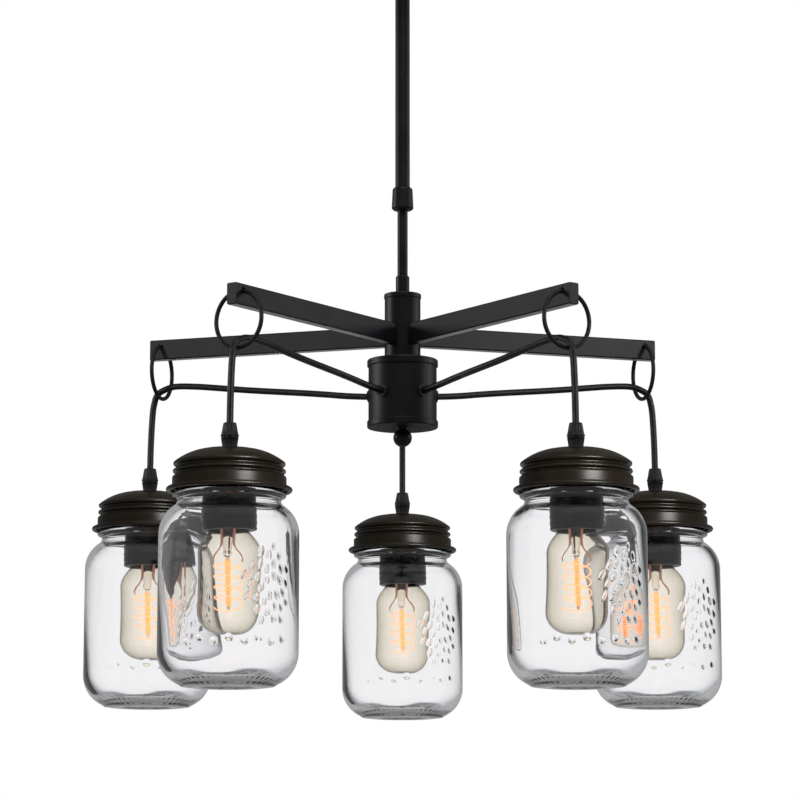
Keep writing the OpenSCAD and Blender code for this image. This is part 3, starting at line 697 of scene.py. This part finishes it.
def ribbed(name, outline, ribs, centre, finish, around=192):
    """A turned outline whose rib-marked points swell and sink round the axis:
    r = r0 - depth * rib * (0.5 - 0.5 cos(GRIP_RIBS t)) ** 0.5."""
    line = np.asarray(outline, float)
    turn = np.linspace(0, 2 * math.pi, around, endpoint=False)
    wave = np.sqrt(0.5 - 0.5 * np.cos(GRIP_RIBS * turn))
    r = line[:, :1] - RIB_DEPTH * np.asarray(ribs, float)[:, None] * wave[None]
    grid = np.stack([r * np.cos(turn), r * np.sin(turn), np.repeat(line[:, 1:], around, 1)],
                    -1) * MM
    return new_piece(name, grid.reshape(-1, 3) + centre, capped_faces(len(line), around),
                     finish, 50)


GRIP_H = 19.0
GRIP_LINE = [              # distance from the axis, height above the lid, and 1 where ribbed
    (5.0, -2.4, 0), (5.0, 0.0, 0), (6.6, 0.05, 0), (6.6, 1.0, 0), (5.6, 1.3, 0), (5.3, 1.8, 0),
    (5.45, 2.4, 1), (5.9, 5.5, 1), (6.2, 7.4, 1), (6.3, 7.8, 0), (6.3, 8.4, 0), (5.6, 8.6, 0),
    (5.6, 9.0, 0), (6.5, 9.2, 0), (6.6, 9.6, 0), (6.45, 10.2, 0), (6.2, 10.6, 1), (5.6, 13.5, 1),
    (5.1, 16.6, 1), (4.85, 17.6, 0), (4.7, 18.6, 0), (4.3, 18.95, 0), (2.5, GRIP_H, 0)]
for k in PENDANTS:
    (x, y), low, high = node_span(f"cord_grip_{k}")
    centre = (x, y, high * MM - GRIP_H * MM)
    grip = ribbed(f"cord_clamp_{k}", [p[:2] for p in GRIP_LINE], [p[2] for p in GRIP_LINE],
                  centre, nylon)
    stand_for(grip, f"pendant_{k}", "grip_plastic", f"cord_grip_{k}")

# ---------------------------------------------------------------------------------------------
# Lids: spun steel jar lids in dark bronze lacquer, with a rolled rim, two beads, a dome and
# four vent holes punched through the dome.
# ---------------------------------------------------------------------------------------------


def arc(cx, cz, r, start, stop, steps=10):
    """Points of an arc about (cx, cz), from start to stop degrees."""
    a = np.radians(np.linspace(start, stop, steps + 1))
    return np.column_stack([cx + r * np.cos(a), cz + r * np.sin(a)])


def chain(*pieces):
    """Arcs and points as one outline."""
    return np.concatenate([np.atleast_2d(np.asarray(p, float)) for p in pieces])


LID_H = 31.0
SKIRT_R = 40.7
RIM_R = 1.7
RIM_MIDDLE = 43.3
DOME_FLAT = 12.0
DOME_EDGE = 21.7
DOME_REACH = SKIRT_R - 1.7 - DOME_FLAT
DOME_RISE = LID_H - DOME_EDGE
DOME_R = (DOME_REACH ** 2 + DOME_RISE ** 2) / (2 * DOME_RISE)
DOME_SWEEP = math.degrees(math.asin(DOME_REACH / DOME_R))
SHEET = 0.8
VENT_R = 4.5
VENT_OUT = 18.0


def lid_line(t):
    """Lid outline from the skirt's foot to its middle, drawn in by a thickness t."""
    return chain(
        (SKIRT_R - t, 3.4), (SKIRT_R - t, 10.2), (SKIRT_R - 0.5 - t, 11.0),
        arc(SKIRT_R - 2.8 - t + 1.7, 12.3, 1.2, 240, 120, 6),
        arc(SKIRT_R - 1.7 - t, 14.8, 1.3, -50, 50, 8),
        arc(SKIRT_R - 2.8 - t + 1.2, 17.4, 1.2, 240, 120, 6),
        arc(SKIRT_R - 2.2 - t, 20.2, 1.5, -50, 60, 8),
        arc(DOME_FLAT, LID_H - DOME_R, DOME_R - t, 90 - DOME_SWEEP, 90, 24))


# bronze lacquer sprayed on spun steel: brown-black, with sharp highlights along the beads,
# clouds about 17 mm across and specks of 0.7 mm
lacquer, tree, shader = material("dark_bronze_lacquer", "#241d12", 0.26, 0.3)
place = add(tree, "ShaderNodeTexCoord").outputs["Object"]
cloud = add(tree, "ShaderNodeTexNoise", [("Scale", 60.0), ("Detail", 3.0)], [("Vector", place)])
tint = add(tree, "ShaderNodeValToRGB", links=[("Fac", cloud.outputs["Fac"])])
tint.color_ramp.elements[0].position = 0.3
tint.color_ramp.elements[0].color = linear("#130e07")
tint.color_ramp.elements[1].position = 0.75
tint.color_ramp.elements[1].color = linear("#1b150c")
shader.inputs["Specular IOR Level"].default_value = 0.6
tree.links.new(tint.outputs["Color"], shader.inputs["Base Color"])
haze = add(tree, "ShaderNodeMapRange", [("To Min", 0.22), ("To Max", 0.3)],
           [("Value", cloud.outputs["Fac"])])
tree.links.new(haze.outputs[0], shader.inputs["Roughness"])
speck = add(tree, "ShaderNodeTexNoise", [("Scale", 1400.0)], [("Vector", place)])
bump = add(tree, "ShaderNodeBump", [("Strength", 0.02), ("Distance", 0.0001)],
           [("Height", speck.outputs["Fac"])])
tree.links.new(bump.outputs[0], shader.inputs["Normal"])

rolled = arc(RIM_MIDDLE, RIM_R, RIM_R, 110, -200, 20)
lid_outline = chain((5.0, LID_H - SHEET), lid_line(SHEET)[::-1][1:], (SKIRT_R - SHEET, 2.6),
                    (RIM_MIDDLE - 1.2, 2.6), rolled[::-1], (SKIRT_R + 0.6, 3.4),
                    (SKIRT_R, 3.9), lid_line(0)[1:-1], (5.0, LID_H))
turn = np.linspace(0, 2 * math.pi, DRILL_SIDES, endpoint=False)
for k in PENDANTS:
    (x, y), low, high = node_span(f"lid_{k}")
    punches = []
    for quarter in range(4):
        a = math.radians(45 + 90 * quarter)
        p = np.concatenate([np.column_stack([
            VENT_OUT * math.cos(a) + VENT_R * np.cos(turn),
            VENT_OUT * math.sin(a) + VENT_R * np.sin(turn), np.full(DRILL_SIDES, z)])
            for z in (DOME_EDGE, LID_H + 4)]) * MM + (x, y, low * MM)
        punches.append((p, capped_faces(2, DRILL_SIDES)))
    lid = turned(f"jar_lid_{k}", lid_outline, (x, y, low * MM), lacquer, 160, 35, closed=True,
                 cutter=joined(punches))
    stand_for(lid, f"pendant_{k}", "bronze_lid", f"lid_{k}")

# ---------------------------------------------------------------------------------------------
# Lamp holders: black phenolic, a smooth upper part and fine turned rings on the skirt.
# ---------------------------------------------------------------------------------------------
HOLDER_R = 19.1

# pressed phenolic: deep black, its gloss swirling some 11 mm across as the powder flowed
phenolic, tree, shader = material("black_phenolic", "#070808", 0.3)
shader.inputs["Specular IOR Level"].default_value = 0.25
place = add(tree, "ShaderNodeTexCoord").outputs["Object"]
swirl = add(tree, "ShaderNodeTexNoise", [("Scale", 90.0), ("Detail", 2.0)], [("Vector", place)])
sheen = add(tree, "ShaderNodeMapRange", [("To Min", 0.22), ("To Max", 0.36)],
            [("Value", swirl.outputs["Fac"])])
tree.links.new(sheen.outputs[0], shader.inputs["Roughness"])

for k in PENDANTS:
    (x, y), low, high = node_span(f"socket_{k}")
    h = high - low
    turns = np.linspace(0, 1, 61)
    skirt = np.column_stack([HOLDER_R - 0.28 * (0.5 - 0.5 * np.cos(turns * 5 * 2 * math.pi)),
                             1.0 + turns * 24])
    holder_line = chain((13.7, 0.6), (14.2, 0), (HOLDER_R - 0.8, 0), (HOLDER_R - 0.1, 0.5), skirt,
                        (HOLDER_R, 26), (HOLDER_R, h - 6.5), (HOLDER_R - 1.2, h - 4),
                        (HOLDER_R - 4, h - 2.5), (6, h - 2.5), (6, h), (5, h), (5, h - 2.6),
                        (5, 32.5), (13.7, 32.5))
    holder = turned(f"lamp_holder_{k}", holder_line, (x, y, low * MM), phenolic, 96, 40,
                    closed=True)
    stand_for(holder, f"pendant_{k}", "holder_plastic", f"socket_{k}")

# ---------------------------------------------------------------------------------------------
# Lamps: tubular glass with a warm tint on a brass screw base, a glass stem with copper leads,
# and a filament in wide turns round a glowing core.
# ---------------------------------------------------------------------------------------------
WAIST_R = 12.6
BULB_R = 22.5
BULB_LEN = 74.0
BULB_NECK = 7.0
SWELL = 17.0
TIP_R = 17.0
BULB_WALL = 0.8


def bulb_line(t):
    """Glass from its neck to its tip: a quarter sine from the waist to full width, a straight
    side and a round tip, drawn in by a thickness t."""
    s = np.linspace(0, 1, 17)[1:]
    swell = np.column_stack([WAIST_R - t + (BULB_R - WAIST_R) * np.sin(s * math.pi / 2),
                             -SWELL * s])
    return chain((WAIST_R - t, BULB_NECK), (WAIST_R - t, 0.0), swell,
                 arc(BULB_R - TIP_R, -BULB_LEN + TIP_R, TIP_R - t, 0, -84, 20),
                 (0, -BULB_LEN + t))


# thin blown glass with a warm stain, deeper where it turns away; as a real lamp's inside is
# gas and its wall is thin, a low index keeps what lies behind it in place
lamp_glass, tree, shader = material("tinted_lamp_glass", "#fefbf3", 0.0)
shader.inputs["Transmission Weight"].default_value = 1.0
shader.inputs["IOR"].default_value = 1.2
facing = add(tree, "ShaderNodeLayerWeight", [("Blend", 0.35)])
edge = add(tree, "ShaderNodeValToRGB", links=[("Fac", facing.outputs["Facing"])])
edge.color_ramp.elements[0].color = linear("#fffcf5")
edge.color_ramp.elements[1].position = 0.95
edge.color_ramp.elements[1].color = linear("#c6beaa")
tree.links.new(edge.outputs["Color"], shader.inputs["Base Color"])

brass = material("plain_brass", "#b98d4e", 0.3, 1.0)[0]     # rolled sheet, lightly dulled
stem_glass, _, shader = material("lamp_stem_glass", "#f4efe6", 0.05)  # pressed while hot
shader.inputs["Transmission Weight"].default_value = 1.0


def glowing(name, colour, roughness, metallic, light, strength):
    """Wire that gives light, or wire with a painted glow that stands for the filament's light on
    it.
    """
    made, _, shader = material(name, colour, roughness, metallic)
    shader.inputs["Emission Color"].default_value = linear(light)
    shader.inputs["Emission Strength"].default_value = strength
    return made


# copper wire with a painted glow for the filament's light on it, and tungsten coils: orange at
# the core, paler in the wide turns
copper_painted_glow = glowing("copper_leads", "#e2a68c", 0.35, 0.2, "#d8a08c", 0.35)
core_coil = glowing("glowing_core_coil", "#ff9a40", 0.5, 0.0, "#ffa45c", 1.5)
wide_coil = glowing("glowing_wide_coil", "#ffb478", 0.5, 0.0, "#ffb488", 1.5)

# both coils go down as they turn, (r cos a, r sin a, top - COIL_LEN t); the wide one leans
FILAMENT_R = 0.42
COIL_LEN = 34.0
WIDE_R, WIDE_TURNS, WIDE_TOP, WIDE_LEAN = 10.6, 4.5, -22, 2.4
CORE_R, CORE_TURNS, CORE_TOP = 2.2, 20, -20
t = np.linspace(0, 1, 220)
wind = t * WIDE_TURNS * 2 * math.pi + 0.3
wide = np.column_stack([WIDE_R * np.cos(wind), WIDE_R * np.sin(wind),
                        WIDE_TOP - COIL_LEN * t - WIDE_LEAN * np.sin(wind)])
t = np.linspace(0, 1, 560)
wind = t * CORE_TURNS * 2 * math.pi
core = np.column_stack([CORE_R * np.cos(wind), CORE_R * np.sin(wind), CORE_TOP - COIL_LEN * t])

for k in PENDANTS:
    (x, y), low, high = node_span(f"bulb_glass_{k}")
    mouth = high - BULB_NECK
    centre = np.array([x, y, mouth * MM])
    outer, inner = bulb_line(0), bulb_line(BULB_WALL)
    glass = turned(f"lamp_glass_{k}", chain(inner[::-1], outer), centre, lamp_glass, 96, 60)
    stand_for(glass, f"lamp_{k}", "lamp_glass", f"bulb_glass_{k}")

    turns = np.linspace(0, 1, 73)
    screw = np.column_stack([12.75 + 0.45 * np.cos(turns * 6 * 2 * math.pi), 8.5 + turns * 15])
    base = turned(f"lamp_base_{k}", chain((0, 7.2), (12.4, 7.2), screw, (11.6, 25.5), (5.4, 29.4),
                                          (4.8, 31), (0, 31)), centre, brass, 64, 40)
    stand_for(base, f"lamp_{k}", "lamp_brass", f"bulb_mount_{k}")

    stem = turned(f"lamp_stem_{k}", chain((0, 6.8), (5.2, 6.8), (4.2, 2), (3.4, -6), (2.8, -13),
                                          arc(0, -15.4, 3.3, 40, -40, 8), (1.3, -18.8),
                                          (1.3, -56), (0, -57)), centre, stem_glass, 32, 60)
    stand_for(stem, f"lamp_{k}", "lamp_glass")

    leads = []
    for a in np.radians((15, 165, 195, 345)):
        c, s = math.cos(a), math.sin(a)
        post = np.array([(4.4 * c, 5.5 * s, 6.0), (4.4 * c, 5.5 * s, -1), (4.3 * c, 5.5 * s, -8),
                         (4.9 * c, 5.5 * s, -10.5)])
        leads.append(tube_on(smooth_line(post) * MM + centre, 0.8 * MM, 8))
        bent = np.array([(4.9 * c, 5.5 * s, -10), (6.4 * c, 6.5 * s, -13), (9 * c, 9 * s, -16),
                         (10.8 * c, 10.8 * s, -19.5), (10.6 * c, 10.6 * s, -22)])
        leads.append(tube_on(smooth_line(bent) * MM + centre, 0.35 * MM, 8))
    lead_piece = new_piece(f"lamp_leads_{k}", *joined(leads), copper_painted_glow)
    stand_for(lead_piece, f"lamp_{k}", "lamp_brass")

    for name, line, finish in (("wide", wide, wide_coil), ("core", core, core_coil)):
        coil = new_piece(f"filament_{name}_{k}", *tube_on(line * MM + centre, FILAMENT_R * MM, 8),
                         finish)
        stand_for(coil, f"lamp_{k}", "lamp_glass")

# ---------------------------------------------------------------------------------------------
# Jars: clear pressed glass with a carrying bead under the lid, a heavy pushed-up base and a
# field of raised drops on one side.
# ---------------------------------------------------------------------------------------------
JAR_R = 50.0
JAR_H = 138.5
FINISH_H = 14.0
FINISH_R = 36.8
JAR_WALL = 3.0
JAR_FLOOR = 5.0
HEEL_R = 25.0
SHOULDER_R = 24.0
NECK_R = 37.0
FILLET_R = 5.0
FILLET_Z = JAR_H - 6
SHOULDER_A = math.degrees(math.acos((NECK_R + FILLET_R - JAR_R + SHOULDER_R)
                                    / (SHOULDER_R + FILLET_R)))
SHOULDER_Z = FILLET_Z - (SHOULDER_R + FILLET_R) * math.sin(math.radians(SHOULDER_A))


def evenly(line, step):
    """The same outline with points about step apart."""
    run = np.concatenate([[0], np.cumsum(np.linalg.norm(np.diff(line, axis=0), axis=1))])
    at = np.linspace(0, run[-1], int(run[-1] / step) + 1)
    return np.column_stack([np.interp(at, run, line[:, 0]), np.interp(at, run, line[:, 1])])


jar_outer = chain(
    (0, 2.2), (10, 2.0), (17, 1.3), (19, 0.5), (21.5, 0.05),
    arc(JAR_R - HEEL_R, HEEL_R, HEEL_R, -84, 0, 24),
    arc(JAR_R - SHOULDER_R, SHOULDER_Z, SHOULDER_R, 0, SHOULDER_A, 12),
    arc(NECK_R + FILLET_R, FILLET_Z, FILLET_R, 180 + SHOULDER_A, 180, 8),
    (NECK_R, JAR_H - 5.4), arc(39.0, JAR_H - 2.6, 1.6, -100, 100, 10), (FINISH_R, JAR_H - 0.6),
    (FINISH_R, JAR_H + FINISH_H - 1), (FINISH_R - 1, JAR_H + FINISH_H),
    (FINISH_R - 2.4, JAR_H + FINISH_H - 0.2))
jar_inner = chain(
    (FINISH_R - 3, JAR_H + FINISH_H - 1.2), (FINISH_R - 3, JAR_H - 4),
    arc(NECK_R + FILLET_R, FILLET_Z, FILLET_R + JAR_WALL, 180, 180 + SHOULDER_A, 8),
    arc(JAR_R - SHOULDER_R, SHOULDER_Z, SHOULDER_R - JAR_WALL, SHOULDER_A, 0, 12),
    arc(JAR_R - HEEL_R, HEEL_R + JAR_FLOOR - JAR_WALL, HEEL_R - JAR_WALL, 0, -88, 20),
    (0, JAR_FLOOR + 0.6))

# clear pressed soda glass, fire-polished, white through the middle; painted shade in its colour
# makes it grey-blue where it turns away from the eye, greyer in the heel, and dark in the thick
# foot
HEEL_TOP_Z = -0.575        # where the glass starts to get thicker
FOOT_TOP_Z = -0.608
FOOT_Z = -0.613            # what the jar would stand on
clear_glass_painted_shade, tree, shader = material("clear_pressed_glass", "#fbfcfd", 0.0)
shader.inputs["Transmission Weight"].default_value = 1.0
shader.inputs["IOR"].default_value = 1.5
place = add(tree, "ShaderNodeTexCoord").outputs["Object"]
height = add(tree, "ShaderNodeSeparateXYZ", links=[(0, place)])
# painted shade: the glass's colour greys from HEEL_TOP_Z down to FOOT_TOP_Z
heel_painted_shade = add(tree, "ShaderNodeMapRange", [("From Min", HEEL_TOP_Z), ("From Max", FOOT_TOP_Z),
                                        ("To Min", 0.0), ("To Max", 0.1)],
           [("Value", height.outputs["Z"])])
facing = add(tree, "ShaderNodeLayerWeight", [("Blend", 0.5)])
turned_away_painted_shade = add(tree, "ShaderNodeMath", [("operation", "ADD")],
                  [(0, facing.outputs["Facing"]), (1, heel_painted_shade.outputs[0])])
# painted shade: the ramp runs from near white to grey-blue as the glass turns away from the eye or
# nears the bottom
edge = add(tree, "ShaderNodeValToRGB", links=[("Fac", turned_away_painted_shade.outputs[0])])
edge.color_ramp.elements[0].position = 0.5
edge.color_ramp.elements[0].color = linear("#fdfdfe")
edge.color_ramp.elements[1].position = 1.0
edge.color_ramp.elements[1].color = linear("#8a9099")
for position, colour in ((0.7, "#f0f2f4"), (0.85, "#ced2d8")):
    edge.color_ramp.elements.new(position).color = linear(colour)
# painted shade: the colour drops to 0.22 of itself at the very bottom
foot_painted_shade = add(tree, "ShaderNodeMapRange", [("From Min", FOOT_Z), ("From Max", FOOT_TOP_Z),
                                        ("To Min", 0.22), ("To Max", 1.0)],
           [("Value", height.outputs["Z"])])
painted_shade_tint = add(tree, "ShaderNodeVectorMath", [("operation", "SCALE")],
             [(0, edge.outputs["Color"]), ("Scale", foot_painted_shade.outputs[0])])
tree.links.new(painted_shade_tint.outputs[0], shader.inputs["Base Color"])

SPRIG_TURN = math.radians(-52)    # the side right of the front
SPRIG_Z = 68.0
GOLDEN_ANGLE = 2.39996
DROP_H = 1.25


def drops(turn, z):
    """Height of the raised drops at (turn, z): a spiral of leaning ovals, each 137.5 degrees
    on from the last at reach c * sqrt(n), and under it a row of small beads.  Each drop is
    DROP_H * sqrt(1 - q), q the squared distance in its own axes."""
    height = np.zeros_like(turn)
    marks = []
    for n in range(1, 33):
        reach, way = 4.9 * math.sqrt(n), GOLDEN_ANGLE * n
        marks.append((SPRIG_TURN + 0.72 * reach * math.cos(way) / JAR_R,
                      SPRIG_Z + reach * math.sin(way), 1.7 + 0.5 * math.sin(1.7 * n),
                      2.7 + 0.6 * math.cos(2.3 * n), math.cos(way)))
    marks += [(math.radians(-122 + 12 * i), 29 + 2.2 * (i % 2), 2.5, 2.0, 0.3) for i in range(8)]
    for a, zc, half_w, half_h, lean in marks:
        x = (turn - a) * JAR_R
        u = (x + 0.5 * lean * (z - zc)) / half_w
        q = u ** 2 + ((z - zc) / half_h) ** 2
        height = np.maximum(height, DROP_H * np.sqrt(np.clip(1 - q, 0, 1)))
    return height


def jar_mesh():
    """Outer skin on a grid that is fine on the marked side, inner skin on a coarser one; the
    bottom ring is stippled and the inside waves gently, as pressed glass does."""
    fine = np.linspace(math.radians(-125), math.radians(-15), 210)
    coarse = np.linspace(math.radians(-15), math.radians(235), 110)[1:-1]
    turn = np.concatenate([fine, coarse])
    line = evenly(jar_outer, 0.9)[1:]
    r, t = line[:, :1], turn[None]
    z = np.repeat(line[:, 1:], len(turn), 1)
    side = (r > JAR_R - 0.5).astype(float)
    r = r + side * drops(np.repeat(t, len(line), 0), z)
    beading = np.exp(-((line[:, :1] - 33) / 1.5) ** 2) * (line[:, 1:] < 12)
    z = z - 0.3 * beading * (1 + np.cos(48 * t))
    outer = np.stack([r * np.cos(t), r * np.sin(t), z], -1)
    line_in = evenly(jar_inner, 2.2)[:-1]
    r = line_in[:, :1] + 0.35 * np.sin(5 * t + 0.05 * line_in[:, 1:]) * (line_in[:, :1] > 40)
    z = np.repeat(line_in[:, 1:], len(turn), 1)
    z = z + 0.5 * (line_in[:, :1] < 28) * np.cos(line_in[:, :1] * 2 * math.pi / 7 + np.sin(5 * t))
    inner = np.stack([r * np.cos(t), r * np.sin(t), z], -1)
    grid = np.concatenate([outer, inner]).reshape(-1, 3)
    n, rows = len(turn), len(line) + len(line_in)
    faces = grid_faces(rows, n).tolist()
    under, over = len(grid), len(grid) + 1
    points = np.concatenate([grid, [(0, 0, jar_outer[0, 1]), (0, 0, jar_inner[-1, 1])]])
    faces += [(under, (j + 1) % n, j) for j in range(n)]
    last = (rows - 1) * n
    faces += [(over, last + j, last + (j + 1) % n) for j in range(n)]
    return points * MM, faces


jar_points, jar_faces = jar_mesh()
for k in PENDANTS:
    (x, y), low, high = node_span(f"jar_{k}")
    jar = new_piece(f"glass_jar_{k}", jar_points + (x, y, low * MM), jar_faces, clear_glass_painted_shade, 60)
    stand_for(jar, f"glass_{k}", "jar_glass", f"jar_{k}")

# ---------------------------------------------------------------------------------------------
# Flags on the soft boxes: two boxes light the lids alone, the low box and the faces' boxes the
# arm bars, the arms' boxes the arms, rings and cords, and the side boxes the frame, cords and
# holders.  The top box has no flags.
# ---------------------------------------------------------------------------------------------


def shine_on(lamp_names, piece_names):
    """The lamps light only the pieces whose names start so."""
    lit_pieces = bpy.data.collections.new("lit_by_" + lamp_names[0])
    for piece in scene.objects:
        if piece.type == "MESH" and piece.name.startswith(piece_names):
            lit_pieces.objects.link(piece)
    for lamp_name in lamp_names:
        bpy.data.objects[lamp_name].light_linking.receiver_collection = lit_pieces


shine_on(("soft_box_lids", "soft_box_domes"), ("jar_lid",))
shine_on(("soft_box_low", "soft_box_faces_right", "soft_box_faces_left"), ("arm_bars",))
shine_on(("soft_box_arms_right", "soft_box_arms_left"), (
    "arm_bars", "arm_plugs", "hanging_ring", "lamp_cord", "cord_clamp"))
shine_on(("soft_box_right", "soft_box_left"), (
    "stem_", "hub_", "arm_plugs", "drum_", "finial", "hanging_ring", "lamp_cord", "cord_",
    "lamp_holder", "canopy"))
